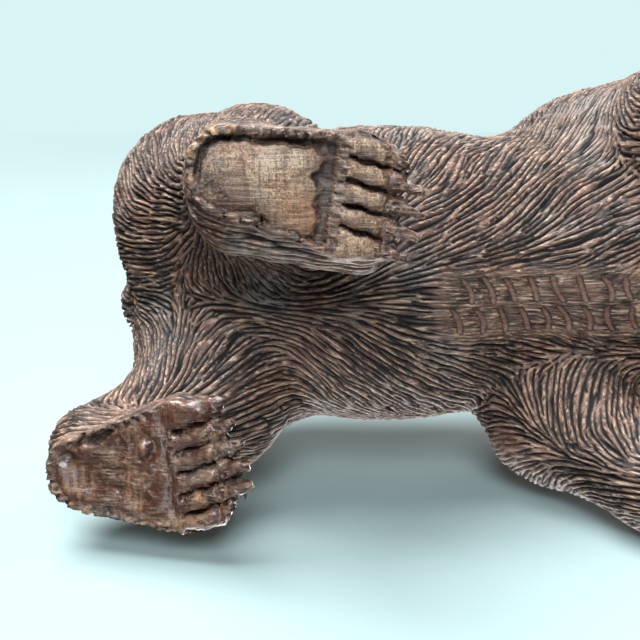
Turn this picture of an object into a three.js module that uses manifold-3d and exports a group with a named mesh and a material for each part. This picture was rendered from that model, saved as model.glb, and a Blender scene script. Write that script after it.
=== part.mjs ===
// A walking bear carved from one block of wood, standing on its four feet.
// Millimetres, +Z up. The bear faces -Y, its left side is +X, and the origin is
// on the ground at the middle of the space it takes up.
import * as THREE from "three";
import { mergeVertices } from "three/addons/utils/BufferGeometryUtils.js";
import Module from "manifold-3d";

const wasm = await Module();
wasm.setup();

// ---- Driving dimensions ----------------------------------------------------
// Stations run forward along the body from a point under the middle of the belly.

const BELLY_RADIUS = 51; // half the barrel's width, and about half its depth
const AXIS_HEIGHT = 86; // ground to the middle of the barrel
const RUMP_STATION = -24;
const CHEST_STATION = 88;
const HEAD_STATION = 178;
const HEAD_HEIGHT = 112;
const NOSE_STATION = 217;

const PAW_LENGTH = 51; // heel to the front of the toes
const PAW_WIDTH = 34; // across the toes
const PAW_HEIGHT = 11.5;
const CLAW_LENGTH = 10;
const TOE_GAP = 1.2; // gouge cut between two toes
const TOE_LENGTH = 16;
const PAD_DEPTH = 1.4; // how far the sole pad is sunk inside its rim

const BODY_CELL = 7.9; // spacing of the lattice that the surface is drawn on
const HEAD_CELL_SHARE = 0.56; // the lattice narrows by this much at the head

// The middle of the whole carving, seen from above, in stations and to the left.
const MIDDLE_STATION = 69.47;
const MIDDLE_LEFT = -2.43;

// A point at a station, so far to the bear's left, and so far up, in part axes.
const spot = (station, left, up) =>
  new THREE.Vector3(left - MIDDLE_LEFT, MIDDLE_STATION - station, up);

// ---- Masses: the rounded forms that the body is blocked out from ------------------

// An egg-shaped mass: radii along the body, across it and upwards, tipped nose-down by pitch.
function egg(at, radii, blend, pitch = 0) {
  const tilt = THREE.MathUtils.degToRad(pitch);
  const cos = Math.cos(tilt);
  const sin = Math.sin(tilt);
  const reach = new THREE.Vector3(radii[1], radii[0], radii[2]);
  return {
    blend,
    distance(p) {
      const along = p.y - at.y;
      const up = p.z - at.z;
      const x = p.x - at.x;
      const y = along * cos + up * sin;
      const z = up * cos - along * sin;
      const near = Math.hypot(x / reach.x, y / reach.y, z / reach.z);
      const slope = Math.hypot(x / reach.x ** 2, y / reach.y ** 2, z / reach.z ** 2);
      return slope < 1e-9 ? -Math.min(...radii) : (near * (near - 1)) / slope;
    },
  };
}

// A limb: a ball of one radius swept to a ball of another.
function limb(from, to, fromRadius, toRadius, blend) {
  const axis = to.clone().sub(from);
  const squared = axis.lengthSq();
  return {
    blend,
    distance(p) {
      const x = p.x - from.x;
      const y = p.y - from.y;
      const z = p.z - from.z;
      const along = (x * axis.x + y * axis.y + z * axis.z) / squared;
      const t = Math.min(1, Math.max(0, along));
      const away = Math.hypot(x - t * axis.x, y - t * axis.y, z - t * axis.z);
      return away - fromRadius - t * (toRadius - fromRadius);
    },
  };
}

function torso() {
  return [
    egg(spot(22, 1, AXIS_HEIGHT - 1), [81, BELLY_RADIUS, BELLY_RADIUS], 0),
    egg(spot(RUMP_STATION, 5, AXIS_HEIGHT + 3), [36, 46, 45], 20),
    egg(spot(CHEST_STATION, 0, AXIS_HEIGHT + 4), [52, 48, 50], 20),
    egg(spot(96, 0, 120), [40, 27, 29], 18),
  ];
}

function neckAndHead() {
  const skull = spot(HEAD_STATION, 0, HEAD_HEIGHT);
  const nose = spot(NOSE_STATION - 10, 0, HEAD_HEIGHT - 18);
  return [
    limb(spot(112, 0, 102), spot(158, 0, HEAD_HEIGHT - 4), 44, 33, 16),
    egg(skull, [31, 30, 28], 12, 12),
    egg(spot(HEAD_STATION - 4, 0, HEAD_HEIGHT - 12), [24, 31, 20], 10),
    limb(spot(HEAD_STATION + 14, 0, HEAD_HEIGHT - 9), nose, 17, 11.5, 8),
  ];
}

function ears() {
  return [-1, 1].map((side) =>
    egg(spot(HEAD_STATION - 6, side * 22.5, HEAD_HEIGHT + 24), [7, 9.5, 11], 7, -10),
  );
}

function tail() {
  const root = spot(-52, 9, 98);
  const tip = spot(-63, 11, 82);
  return [limb(root, tip, 10, 6.5, 6)];
}

// The height of a raised foot's sole at a distance forward of its heel.
const soleHeight = (heelRise, along) => heelRise * (1 - along / (PAW_LENGTH + CLAW_LENGTH));

// A hind leg from hip to ball of the foot. heelRise is how far the heel is off the ground.
function hindLeg({ side, hip, knee, hock, heelStation, heelOut, heelRise }) {
  const out = side * (heelOut - 2);
  const sole = spot(heelStation + 13, out, soleHeight(heelRise, 13) + 13.5);
  const ball = spot(heelStation + 34, out, soleHeight(heelRise, 34) + 12.5);
  const hipAt = spot(hip[0], side * hip[1], hip[2]);
  const kneeAt = spot(knee[0], side * knee[1], knee[2]);
  const hockAt = spot(hock[0], side * hock[1], hock[2]);
  return [
    limb(hipAt, kneeAt, 33, 23, 14),
    limb(kneeAt, hockAt, 24, 15, 12),
    limb(hockAt, sole, 15, 12, 8),
    limb(sole, ball, 12, 11, 8),
  ];
}

// The skirt of fur that spreads inwards over the foot that carries the rump.
function furSkirt() {
  return [limb(spot(-22, -29, 14), spot(10, -24, 12.5), 11, 11, 6)];
}

// A front leg from shoulder to ball of the foot.
function frontLeg({ side, shoulder, elbow, wrist, heelStation, heelOut }) {
  const out = side * (heelOut - 2);
  const shoulderAt = spot(shoulder[0], side * shoulder[1], shoulder[2]);
  const elbowAt = spot(elbow[0], side * elbow[1], elbow[2]);
  const wristAt = spot(wrist[0], side * wrist[1], wrist[2]);
  const ball = spot(heelStation + 20, out, 12.5);
  return [
    limb(shoulderAt, elbowAt, 32, 21, 12),
    limb(elbowAt, wristAt, 21, 15.5, 10),
    limb(wristAt, ball, 15.5, 11, 8),
  ];
}

// Where each leg stands: the right legs step forward, the left legs trail. Each joint is
// [station, distance from the centreline, height].
const LEGS = {
  rightHind: {
    side: -1,
    heelStation: -34,
    heelOut: 41,
    heelRise: 0,
    toeIn: 8,
    breadth: 0.95,
    toes: 5,
    hip: [-37, 22, 82],
    knee: [-19, 32, 50],
    hock: [-21, 37, 25],
  },
  leftHind: {
    side: 1,
    heelStation: -79,
    heelOut: 44,
    heelRise: 13,
    toeIn: 5,
    breadth: 1.2,
    toes: 6,
    hip: [-32, 25, 82],
    knee: [-37, 36, 53],
    hock: [-51, 40, 35],
  },
  rightFront: {
    side: -1,
    heelStation: 122,
    heelOut: 50,
    heelRise: 0,
    toeIn: 6,
    breadth: 1.05,
    toes: 5,
    shoulder: [98, 31, 98],
    elbow: [117, 50, 62],
    wrist: [131, 51, 24],
  },
  leftFront: {
    side: 1,
    heelStation: 96,
    heelOut: 52,
    heelRise: 0,
    toeIn: 6,
    breadth: 1.05,
    toes: 5,
    shoulder: [88, 28, 96],
    elbow: [78, 43, 56],
    wrist: [102, 51, 24],
  },
};

const masses = [
  ...torso(),
  ...hindLeg(LEGS.rightHind),
  ...hindLeg(LEGS.leftHind),
  ...furSkirt(),
  ...frontLeg(LEGS.rightFront),
  ...frontLeg(LEGS.leftFront),
  ...neckAndHead(),
  ...ears(),
  ...tail(),
];

// Distance from the blocked-out body: each mass melts into the ones before it.
function bodyDistance(p) {
  let d = masses[0].distance(p);
  for (const mass of masses.slice(1)) {
    const other = mass.distance(p);
    const overlap = Math.max(0, mass.blend - Math.abs(d - other)) / mass.blend;
    d = Math.min(d, other) - (overlap * overlap * mass.blend) / 4;
  }
  return d;
}

// ---- Drawing a closed surface on a lattice ----------------------------------------

// The lattice narrows from the front paws to the head, so that the face gets finer facets.
const NECK_STATION = 156;
const headward = (station) =>
  THREE.MathUtils.smoothstep(station, NECK_STATION, NECK_STATION + 16);
const latticeShare = (station) => 1 - headward(station) * (1 - HEAD_CELL_SHARE);

function latticeStations(first, last) {
  const stations = [first];
  while (stations.at(-1) < last) {
    stations.push(stations.at(-1) + BODY_CELL * latticeShare(stations.at(-1)));
  }
  return stations;
}

// A lattice cell's corners, its edges as pairs of corners, and its faces as lists of edges.
const corners = [0, 1, 2, 3, 4, 5, 6, 7].map((c) => [c & 1, (c >> 1) & 1, c >> 2]);
const edges = corners.flatMap((at, c) =>
  [0, 1, 2].filter((axis) => !at[axis]).map((axis) => [c, c + (1 << axis)]),
);
const edgeNumber = (start, axis) =>
  edges.findIndex(([a, b]) => a === start && b === start + (1 << axis));
const faces = [0, 1, 2].flatMap((axis) =>
  [0, 1].map((side) =>
    edges.map((_, n) => n).filter((n) => edges[n].every((c) => corners[c][axis] === side)),
  ),
);

// Groups a cell's crossed edges into the separate sheets that pass through the cell.
function sheetsThrough(inside) {
  const crossed = (n) => inside[edges[n][0]] !== inside[edges[n][1]];
  const sheet = edges.map((_, n) => n);
  const unite = ([a, b]) => {
    const from = sheet[a];
    const to = sheet[b];
    sheet.forEach((name, n) => {
      if (name === from) sheet[n] = to;
    });
  };
  for (const face of faces) {
    const cut = face.filter(crossed);
    if (cut.length === 2) unite(cut);
    if (cut.length === 4) {
      const within = new Set(cut.flatMap((n) => edges[n]).filter((c) => inside[c]));
      within.forEach((c) => unite(cut.filter((n) => edges[n].includes(c))));
    }
  }
  const groups = new Map();
  edges.forEach((_, n) => {
    if (crossed(n)) groups.set(sheet[n], [...(groups.get(sheet[n]) ?? []), n]);
  });
  return [...groups.values()];
}

// The field's values on the lattice, and where each of its points is.
function sampleLattice(distance) {
  const stations = latticeStations(-92, 236);
  const across = 12; // cells on each side of the centreline
  const upwards = 12; // cells above and below the axis
  const places = [];
  for (const station of stations) {
    const step = BODY_CELL * latticeShare(station);
    const axis = THREE.MathUtils.lerp(AXIS_HEIGHT - 8, HEAD_HEIGHT + 4, headward(station));
    for (let j = -across; j <= across; j++) {
      for (let k = -upwards; k <= upwards; k++) {
        places.push(spot(station, (j + 0.5) * step, axis + k * step));
      }
    }
  }
  const size = [stations.length, 2 * across + 1, 2 * upwards + 1];
  return { size, places, values: places.map(distance) };
}

// One vertex for each sheet in each lattice cell, and one quad across each crossed edge.
function surfaceMesh(distance) {
  const { size, places, values } = sampleLattice(distance);
  const indexOf = ([i, j, k]) => (i * size[1] + j) * size[2] + k;
  const shifted = (cell, by, sign = 1) => cell.map((n, axis) => n + sign * by[axis]);
  const cells = [];
  for (let i = 0; i < size[0] - 1; i++) {
    for (let j = 0; j < size[1] - 1; j++) {
      for (let k = 0; k < size[2] - 1; k++) cells.push([i, j, k]);
    }
  }

  const vertexOf = new Map();
  const positions = [];
  for (const cell of cells) {
    const at = corners.map((c) => indexOf(shifted(cell, c)));
    const inside = at.map((n) => values[n] < 0);
    if (inside.every((is) => is === inside[0])) continue;
    for (const sheet of sheetsThrough(inside)) {
      const middle = new THREE.Vector3();
      for (const n of sheet) {
        const [a, b] = edges[n].map((c) => at[c]);
        const crossing = places[a].clone().lerp(places[b], values[a] / (values[a] - values[b]));
        middle.addScaledVector(crossing, 1 / sheet.length);
        vertexOf.set(indexOf(cell) * edges.length + n, positions.length / 3);
      }
      positions.push(...settle(middle, distance).toArray());
    }
  }

  const triangles = [];
  const around = [0, 1, 3, 2].map((n) => [n & 1, n >> 1]);
  for (const cell of cells.filter((c) => Math.min(...c) > 0)) {
    const here = values[indexOf(cell)] < 0;
    for (const axis of [0, 1, 2]) {
      const step = corners[1 << axis];
      if (here === values[indexOf(shifted(cell, step))] < 0) continue;
      const [u, v] = [(axis + 1) % 3, (axis + 2) % 3];
      const ring = around.map(([a, b]) => {
        const start = (a << u) + (b << v);
        const from = shifted(cell, corners[start], -1);
        return vertexOf.get(indexOf(from) * edges.length + edgeNumber(start, axis));
      });
      // The lattice's first axis runs against +Y, which turns the winding round.
      addQuad(triangles, positions, here ? ring : ring.reverse());
    }
  }
  return new THREE.BufferGeometry()
    .setAttribute("position", new THREE.Float32BufferAttribute(positions, 3))
    .setIndex(triangles);
}

// Moves a point onto the surface, along the steepest way.
function settle(point, distance) {
  const reach = 0.5;
  const steps = [
    new THREE.Vector3(reach, 0, 0),
    new THREE.Vector3(0, reach, 0),
    new THREE.Vector3(0, 0, reach),
  ];
  for (let turn = 0; turn < 2; turn++) {
    const slope = new THREE.Vector3(
      ...steps.map((s) => distance(point.clone().add(s)) - distance(point.clone().sub(s))),
    ).divideScalar(2 * reach);
    point.addScaledVector(slope, -distance(point) / Math.max(slope.lengthSq(), 0.25));
  }
  return point;
}

// Two triangles, split along the shorter diagonal.
function addQuad(triangles, positions, [a, b, c, d]) {
  const at = (n) => new THREE.Vector3().fromArray(positions, 3 * n);
  if (at(a).distanceTo(at(c)) <= at(b).distanceTo(at(d))) {
    triangles.push(a, b, c, a, c, d);
  } else {
    triangles.push(a, b, d, b, c, d);
  }
}

// ---- Solids that are joined and cut -------------------------------------------------

function solidOf(geometry) {
  const bare = geometry.clone();
  bare.deleteAttribute("normal");
  bare.deleteAttribute("uv");
  const merged = mergeVertices(bare, 1e-4);
  return new wasm.Manifold(
    new wasm.Mesh({
      numProp: 3,
      vertProperties: merged.attributes.position.array,
      triVerts: new Uint32Array(merged.index.array),
    }),
  );
}

function geometryOf(solid) {
  const mesh = solid.getMesh();
  const geometry = new THREE.BufferGeometry()
    .setAttribute("position", new THREE.BufferAttribute(mesh.vertProperties, 3))
    .setIndex(new THREE.BufferAttribute(mesh.triVerts, 1));
  geometry.computeVertexNormals();
  return geometry;
}

// ---- Paws ---------------------------------------------------------------------------
// A paw is drawn on the ground with its heel at 0, its toes along +X and its outer side
// at +Y, and then set under its leg.

// Half the sole's width at a distance from the heel: a narrow heel, a hollow arch on the
// inner side and a broad ball.
function soleHalf(x, outer, front) {
  const t = x / PAW_LENGTH;
  const ball = THREE.MathUtils.smoothstep(t, outer ? -0.1 : 0.25, outer ? 0.6 : 0.8);
  const straight = THREE.MathUtils.lerp(8.5, PAW_WIDTH / 2, ball);
  const heelCap = Math.sqrt(Math.min(1, x / 8) * (2 - Math.min(1, x / 8)));
  const toeCap = Math.sqrt(Math.min(1, Math.max(0, (front - x) / 5 + 0.5)));
  return straight * heelCap * toeCap;
}

// The sole's outline, drawn inwards by inset and stopped at front.
function soleOutline(inset = 0, front = PAW_LENGTH) {
  const steps = 12;
  const side = Array.from({ length: steps + 1 }, (_, n) => n / steps);
  const station = (t) => (front * (1 - Math.cos(Math.PI * t))) / 2;
  const scale = (front - 2 * inset) / front;
  const at = (t, sign) => {
    const half = soleHalf(station(t), sign > 0, front);
    return new THREE.Vector2(inset + station(t) * scale, sign * Math.max(0, half - inset));
  };
  const inner = side.slice(1).map((t) => at(t, -1));
  const outer = side.slice(1).map((t) => at(t, 1));
  return new THREE.Shape([at(0, 1), ...inner, ...outer.reverse()]);
}

function pawBlock() {
  const bevel = 2;
  const block = new THREE.ExtrudeGeometry(soleOutline(bevel), {
    depth: PAW_HEIGHT - 2 * bevel,
    bevelThickness: bevel,
    bevelSize: bevel,
    bevelSegments: 1,
    steps: 1,
  });
  return solidOf(block.translate(0, 0, bevel));
}

function claw(row, pitch) {
  const out = row * pitch;
  const root = PAW_LENGTH - 3;
  const side = new THREE.Shape();
  const tip = root + 3 + CLAW_LENGTH - 1.6 * Math.abs(row);
  side.moveTo(root, 0.4);
  side.lineTo(tip - 1.5, -1);
  side.quadraticCurveTo(tip, 0, tip - 0.5, 1.4);
  side.quadraticCurveTo(root + CLAW_LENGTH * 0.6, 6.4, root, 7.2);
  const width = 0.73 * pitch;
  const bevel = 0.6;
  const blade = new THREE.ExtrudeGeometry(side, {
    depth: width - 2 * bevel,
    bevelThickness: bevel,
    bevelSize: bevel,
    bevelSegments: 1,
    curveSegments: 3,
  });
  blade.rotateX(Math.PI / 2);
  blade.translate(0, out + width / 2 - bevel, 0);
  return solidOf(blade);
}

function toeCut(row, pitch) {
  const out = (row + 0.5) * pitch;
  const cut = new THREE.BoxGeometry(TOE_LENGTH - 3, TOE_GAP, PAW_HEIGHT * 2);
  cut.translate(PAW_LENGTH - TOE_LENGTH / 2 - 1, out, 0);
  return solidOf(cut);
}

function padCut() {
  const pad = new THREE.ExtrudeGeometry(soleOutline(3.4, PAW_LENGTH - TOE_LENGTH - 1), {
    depth: 2 * PAD_DEPTH,
    bevelEnabled: false,
  });
  pad.translate(0, 0, -PAD_DEPTH);
  return solidOf(pad);
}

// Puts a solid drawn in the paw's own frame under a leg.
function setUnder(leg, solid) {
  const mirror = new THREE.Matrix4().makeScale(1, leg.side * leg.breadth, 1);
  const run = PAW_LENGTH + CLAW_LENGTH;
  const lift = new THREE.Matrix4().makeRotationY(Math.asin(leg.heelRise / run));
  const rise = new THREE.Matrix4().makeTranslation(0, 0, leg.heelRise);
  // Along the bear is -Y, so a quarter turn, then the toes turn in towards the centreline.
  const heading = -Math.PI / 2 - leg.side * THREE.MathUtils.degToRad(leg.toeIn);
  const turn = new THREE.Matrix4().makeRotationZ(heading);
  const heel = spot(leg.heelStation, leg.side * leg.heelOut, 0);
  const place = new THREE.Matrix4().makeTranslation(heel.x, heel.y, heel.z);
  const matrix = place.multiply(turn).multiply(rise).multiply(lift).multiply(mirror);
  return solid.transform(matrix.toArray());
}

function joined(solids) {
  return solids.reduce((all, next) => all.add(next));
}

// ---- The carving ----------------------------------------------------------------------

function carving() {
  let bear = solidOf(surfaceMesh(bodyDistance));
  const cuts = [];
  for (const leg of Object.values(LEGS)) {
    const pitch = (PAW_WIDTH - 3) / leg.toes;
    const rows = Array.from({ length: leg.toes }, (_, n) => n - (leg.toes - 1) / 2);
    const claws = rows.map((row) => claw(row, pitch));
    const toeCuts = rows.slice(0, -1).map((row) => toeCut(row, pitch));
    bear = bear.add(setUnder(leg, joined([pawBlock(), ...claws])));
    cuts.push(setUnder(leg, joined([padCut(), ...toeCuts])));
  }
  const ground = new THREE.BoxGeometry(400, 600, 60).translate(0, 0, -30);
  return bear.subtract(joined(cuts)).subtract(solidOf(ground));
}

const stainedWood = new THREE.MeshStandardMaterial({
  name: "stained_wood",
  color: new THREE.Color(0.2, 0.115, 0.075),
  roughness: 0.6,
  metalness: 0,
});

const bear = new THREE.Mesh(geometryOf(carving()), stainedWood);
bear.name = "bear";

const group = new THREE.Group();
group.add(bear);
export default group;
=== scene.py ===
# %% [markdown]
# # A carved bear, from its frame to its finish
#
# The frame is a plain solid of the bear: one block of wood with a head, four legs and
# four paws, standing on the ground at z = 0 and facing -Y. This lesson carves the fur,
# the paws and the face into a copy of that form, and stains it.

# %% Load the frame
import math
import time

import bpy
import numpy as np
from mathutils import Matrix, Vector


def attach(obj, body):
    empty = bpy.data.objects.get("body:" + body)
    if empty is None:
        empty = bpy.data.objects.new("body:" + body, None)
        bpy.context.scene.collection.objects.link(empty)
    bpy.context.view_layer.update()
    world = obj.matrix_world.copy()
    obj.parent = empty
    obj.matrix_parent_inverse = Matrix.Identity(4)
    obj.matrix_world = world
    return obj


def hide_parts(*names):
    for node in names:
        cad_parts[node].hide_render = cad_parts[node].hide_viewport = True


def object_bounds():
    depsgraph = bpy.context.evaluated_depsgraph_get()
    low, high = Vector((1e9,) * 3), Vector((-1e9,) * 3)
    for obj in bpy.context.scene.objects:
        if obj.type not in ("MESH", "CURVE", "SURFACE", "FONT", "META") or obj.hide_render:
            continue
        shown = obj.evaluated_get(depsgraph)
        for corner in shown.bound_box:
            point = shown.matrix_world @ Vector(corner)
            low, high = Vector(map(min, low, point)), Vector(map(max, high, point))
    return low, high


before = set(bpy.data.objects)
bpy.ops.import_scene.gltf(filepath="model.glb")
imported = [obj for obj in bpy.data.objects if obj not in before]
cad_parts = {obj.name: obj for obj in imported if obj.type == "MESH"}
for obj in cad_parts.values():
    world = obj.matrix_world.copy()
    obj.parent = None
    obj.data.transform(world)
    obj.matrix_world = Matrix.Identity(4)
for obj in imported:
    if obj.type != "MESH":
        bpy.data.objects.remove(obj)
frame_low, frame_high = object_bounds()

started = time.time()
print("the frame spans", [round(v, 4) for v in frame_high - frame_low], "m")

# %% [markdown]
# ## Blocking out
#
# A carver first takes the block down to round masses: a barrel, a rump, shoulders, a
# skull. Here each mass is an egg or a tapered limb, given as the distance from any point
# to its skin. Distances are easy to melt into each other, so the joins come out soft, as
# they do under a sanding disc. The numbers are millimetres: stations run forward along
# the body, then the distance to the bear's left, then the height.

# %% Masses and how they melt
MM = 0.001  # metres
MIDDLE_STATION = 69.47  # the station and the left of the frame's own middle
MIDDLE_LEFT = -2.43


def spot(station, left, up):
    return np.array([left - MIDDLE_LEFT, MIDDLE_STATION - station, up], np.float32)


def egg(at, radii, pitch=0.0):
    """Distance to an egg: radii along the body, across it and upwards."""
    cos, sin = math.cos(math.radians(pitch)), math.sin(math.radians(pitch))

    def distance(p):
        x, along, up = (p - at).T
        y, z = along * cos + up * sin, up * cos - along * sin
        a, b, c = x / radii[1], y / radii[0], z / radii[2]
        near = np.sqrt(a * a + b * b + c * c)
        slope = np.sqrt((a / radii[1]) ** 2 + (b / radii[0]) ** 2 + (c / radii[2]) ** 2)
        return near * (near - 1) / np.maximum(slope, 1e-6)

    return distance


def limb(start, end, start_radius, end_radius):
    """Distance to a ball swept from one place and size to another."""
    start, end = np.asarray(start, np.float32), np.asarray(end, np.float32)
    axis = end - start

    def distance(p):
        away = p - start
        t = np.clip(away @ axis / (axis @ axis), 0, 1)
        gap = away - t[:, None] * axis
        return np.sqrt((gap * gap).sum(1)) - start_radius - t * (end_radius - start_radius)

    return distance


def melt(a, b, blend):
    """The nearer of two skins, with the crease between them filled over a width."""
    if not blend:
        return np.minimum(a, b)
    overlap = np.maximum(0, blend - np.abs(a - b)) / blend
    return np.minimum(a, b) - overlap * overlap * blend / 4


def scoop(d, hollow, blend):
    """Takes a hollow out of a form."""
    return -melt(-d, hollow, blend)


print("two skins 2 mm apart melt to", float(melt(1.0, 3.0, 8)), "mm")

# %% Trunk, neck, head and tail
AXIS_HEIGHT = 86
HEAD_STATION = 178
HEAD_HEIGHT = 112
NOSE_STATION = 217

# Each mass comes with the width over which it melts into what is already there.
TRUNK = [
    (egg(spot(22, 1, AXIS_HEIGHT - 1), [81, 51, 51]), 0),
    (egg(spot(-24, 5, AXIS_HEIGHT + 3), [36, 46, 45], 20), 14),
    (egg(spot(88, 0, AXIS_HEIGHT + 4), [52, 48, 50], 20), 14),
    (egg(spot(96, 0, 120), [40, 27, 29], 18), 14),
]
HEAD = [
    (limb(spot(112, 0, 102), spot(158, 0, 108), 44, 33), 16),
    (egg(spot(HEAD_STATION, 0, HEAD_HEIGHT), [31, 30, 28], 12), 12),
    (egg(spot(174, 0, 100), [24, 31, 20]), 10),
    (limb(spot(192, 0, 103), spot(207, 0, 94), 17, 11.5), 8),
]
EARS = [
    (egg(spot(172, side * 22.5, 136), [7, 9.5, 11], -10), 7) for side in (-1, 1)
]
TAIL = [(limb(spot(-52, 9, 98), spot(-63, 11, 82), 10, 6.5), 6)]
print(len(TRUNK + HEAD + EARS + TAIL), "masses for the trunk, head and tail")

# %% Legs
# Joints run from the hip or shoulder down; a station, a distance out and a height each.
LEGS = {
    "right_hind": dict(
        side=-1, heel=(-34, 41), rise=0, toe_in=8, breadth=0.95, toes=5, slant=-0.17,
        joints=[(-37, 22, 82), (-19, 32, 50), (-21, 37, 25)],
        radii=(33, 23, 15), blends=(14, 12, 8, 8),
        along=(13, 34), lift=(13.5, 12.5), foot_radii=(12, 11),
    ),
    "left_hind": dict(
        side=1, heel=(-79, 44), rise=13, toe_in=5, breadth=1.2, toes=6, slant=-0.32,
        joints=[(-32, 25, 82), (-37, 36, 53), (-51, 40, 35)],
        radii=(33, 23, 15), blends=(14, 12, 8, 8),
        along=(13, 34), lift=(13.5, 12.5), foot_radii=(12, 11),
    ),
    "right_front": dict(
        side=-1, heel=(122, 50), rise=0, toe_in=6, breadth=1.05, toes=5, slant=-0.2,
        joints=[(98, 31, 98), (117, 50, 62), (131, 51, 24)],
        radii=(32, 21, 15.5), blends=(12, 10, 8),
        along=(20,), lift=(12.5,), foot_radii=(11,),
    ),
    "left_front": dict(
        side=1, heel=(96, 52), rise=0, toe_in=6, breadth=1.05, toes=5, slant=-0.2,
        joints=[(88, 28, 96), (78, 43, 56), (102, 51, 24)],
        radii=(32, 21, 15.5), blends=(12, 10, 8),
        along=(20,), lift=(12.5,), foot_radii=(11,),
    ),
}
PAW_RUN = 61  # heel to claw tips


def leg_masses(leg):
    """The limbs from hip or shoulder down to the ball of the foot."""
    side = leg["side"]
    heel, out = leg["heel"]
    places = [spot(station, side * far, up) for station, far, up in leg["joints"]]
    radii = leg["radii"] + leg["foot_radii"]
    for along, lift in zip(leg["along"], leg["lift"]):
        height = leg["rise"] * (1 - along / PAW_RUN) + lift
        places.append(spot(heel + along, side * (out - 2), height))
    pairs = zip(places, places[1:], radii, radii[1:])
    return [(limb(*pair), blend) for pair, blend in zip(pairs, leg["blends"])]


LEG_MASSES = [mass for leg in LEGS.values() for mass in leg_masses(leg)]
# The skirt of fur that spreads inwards over the foot that carries the rump.
LEG_MASSES.append((limb(spot(-22, -29, 14), spot(10, -24, 12.5), 11, 11), 6))
print(len(LEG_MASSES), "masses for the legs")

# %% [markdown]
# ## Paws
#
# The underside shows most of the work, so each paw is drawn in a frame of its own: x from
# heel to claws, y outwards, z up from the sole. A paw is a thick outline with toes and
# claws swept out of it. Everything cut into the sole is one height map: the trench round
# the pad, the slanted cuts between the toes, and the line where the claws begin.


# %% A paw's own frame
def paw_frame(leg):
    """The heel, and the directions of the toes, the outer side and the sole's inside."""
    heading = -math.pi / 2 - leg["side"] * math.radians(leg["toe_in"])
    lift = math.asin(leg["rise"] / PAW_RUN)
    flat = np.array([math.cos(heading), math.sin(heading), 0])
    outward = leg["side"] * np.array([-math.sin(heading), math.cos(heading), 0])
    up = np.array([0, 0, 1])
    toes = flat * math.cos(lift) - up * math.sin(lift)
    inward = flat * math.sin(lift) + up * math.cos(lift)
    heel = spot(leg["heel"][0], leg["side"] * leg["heel"][1], leg["rise"])
    return heel, np.stack([toes, outward, inward], 1).astype(np.float32)


def in_paw(p, leg):
    """Points of the bear, in the paw's own frame."""
    heel, axes = paw_frame(leg)
    return (p - heel) @ axes


def smooth(a, b, x):
    """Eases from 0 at a to 1 at b."""
    t = np.clip((x - a) / (b - a), 0, 1)
    return t * t * (3 - 2 * t)


def sole_outline(x, y, breadth):
    """Flat distance to the outline: a round heel, fuller outside, opening to a broad ball."""
    flat = np.stack([x, y, 0 * x], 1)
    skin = limb((11, 1, 0), (43, 0, 0), 9, 8)(flat)
    for heel, radius, side in (((11, 2.6, 0), 11, 1), ((11, 0.5, 0), 9.5, -1)):
        ball = (42, side * (16.8 * breadth - 6.8), 0)
        skin = melt(skin, limb(heel, ball, radius, 6.8)(flat), 2)
    return skin


for name, leg in LEGS.items():
    print(name, "heel at", paw_frame(leg)[0].round(1), "mm")

# %% What is cut into a sole
BALL_BREADTH = 31
RIM_TO_TRENCH = 1.2  # the rim's width, from the outline to the trench
RIM_TO_PAD = 2.5  # from the outline to the pad
PAD_FRONT = 34.4
TRENCH_FRONT = 37.6
CLAW_LINE = 51.5


def toe_rows(leg):
    """The toes' places across the ball, and the distance between them."""
    count = leg["toes"]
    pitch = BALL_BREADTH * leg["breadth"] / count
    return [(n - (count - 1) / 2) * pitch for n in range(count)], pitch


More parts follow.
